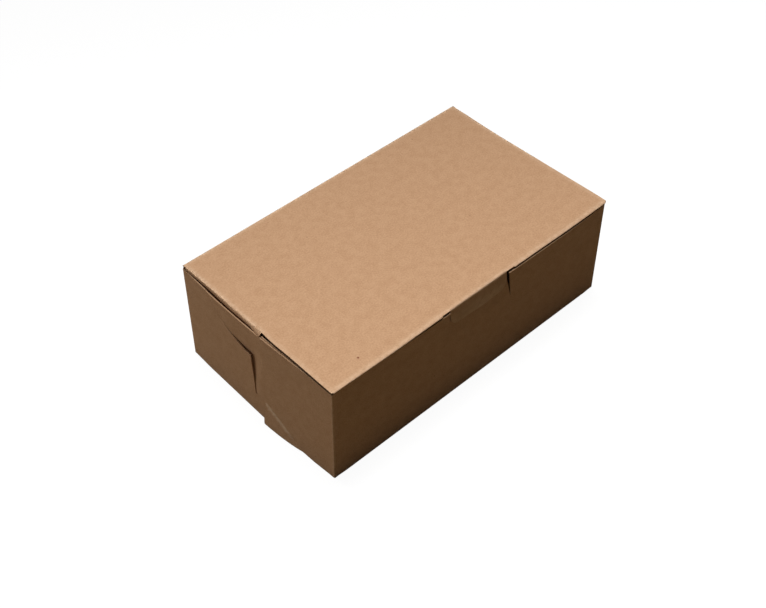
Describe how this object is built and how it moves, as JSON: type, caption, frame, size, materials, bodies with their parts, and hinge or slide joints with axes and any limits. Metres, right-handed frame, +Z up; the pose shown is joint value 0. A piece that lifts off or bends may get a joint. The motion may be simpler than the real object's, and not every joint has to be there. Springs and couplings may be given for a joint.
{
  "type": "bakery box",
  "caption": "Low rectangular box of plain kraft board with locked ends, a hinged lid with tucked side and front flaps, and a front lock tongue.",
  "frame": {"origin": "on the table, under the middle of the box's footprint", "axes": "+X along the box's length, the lid's hinge at +Y and the front wall facing -Y, +Z up"},
  "size_m": [0.167, 0.0958, 0.0533],
  "materials": {
    "kraft_board": "matt, uncoated, with fine fibres and flecks"
  },
  "bodies": {
    "tray": {"base_panel": "kraft_board", "front_wall": "kraft_board", "back_wall": "kraft_board", "left_end_panel": "kraft_board", "right_end_panel": "kraft_board", "left_rear_lock_flap": "kraft_board", "right_rear_lock_flap": "kraft_board", "left_front_lock_flap": "kraft_board", "right_front_lock_flap": "kraft_board"},
    "lid": {"lid_panel": "kraft_board"},
    "left_side_flap": {"lid_left_side_flap": "kraft_board"},
    "right_side_flap": {"lid_right_side_flap": "kraft_board"},
    "left_tuck_flap": {"lid_left_tuck_flap": "kraft_board"},
    "right_tuck_flap": {"lid_right_tuck_flap": "kraft_board"},
    "lock_tongue": {"lid_lock_tongue": "kraft_board"}
  },
  "joints": [
    {"name": "lid_hinge", "type": "hinge", "parent": "tray", "child": "lid", "pos_m": [0, 0.04725, 0.0533], "axis": [-1, 0, 0], "range_deg": [0, 210]},
    {"name": "left_side_flap_fold", "type": "hinge", "parent": "lid", "child": "left_side_flap", "pos_m": [-0.0779, 0, 0.0525], "axis": [0, -1, 0], "range_deg": [0, 90]},
    {"name": "right_side_flap_fold", "type": "hinge", "parent": "lid", "child": "right_side_flap", "pos_m": [0.0779, 0, 0.0525], "axis": [0, 1, 0], "range_deg": [0, 90]},
    {"name": "left_tuck_flap_fold", "type": "hinge", "parent": "lid", "child": "left_tuck_flap", "pos_m": [0, -0.04595, 0.0525], "axis": [1, 0, 0], "range_deg": [0, 84]},
    {"name": "right_tuck_flap_fold", "type": "hinge", "parent": "lid", "child": "right_tuck_flap", "pos_m": [0, -0.04595, 0.0525], "axis": [1, 0, 0], "range_deg": [0, 84]},
    {"name": "lock_tongue_fold", "type": "hinge", "parent": "lid", "child": "lock_tongue", "pos_m": [0, -0.04725, 0.0525], "axis": [-1, 0, 0], "range_deg": [0, 85]}
  ]
}
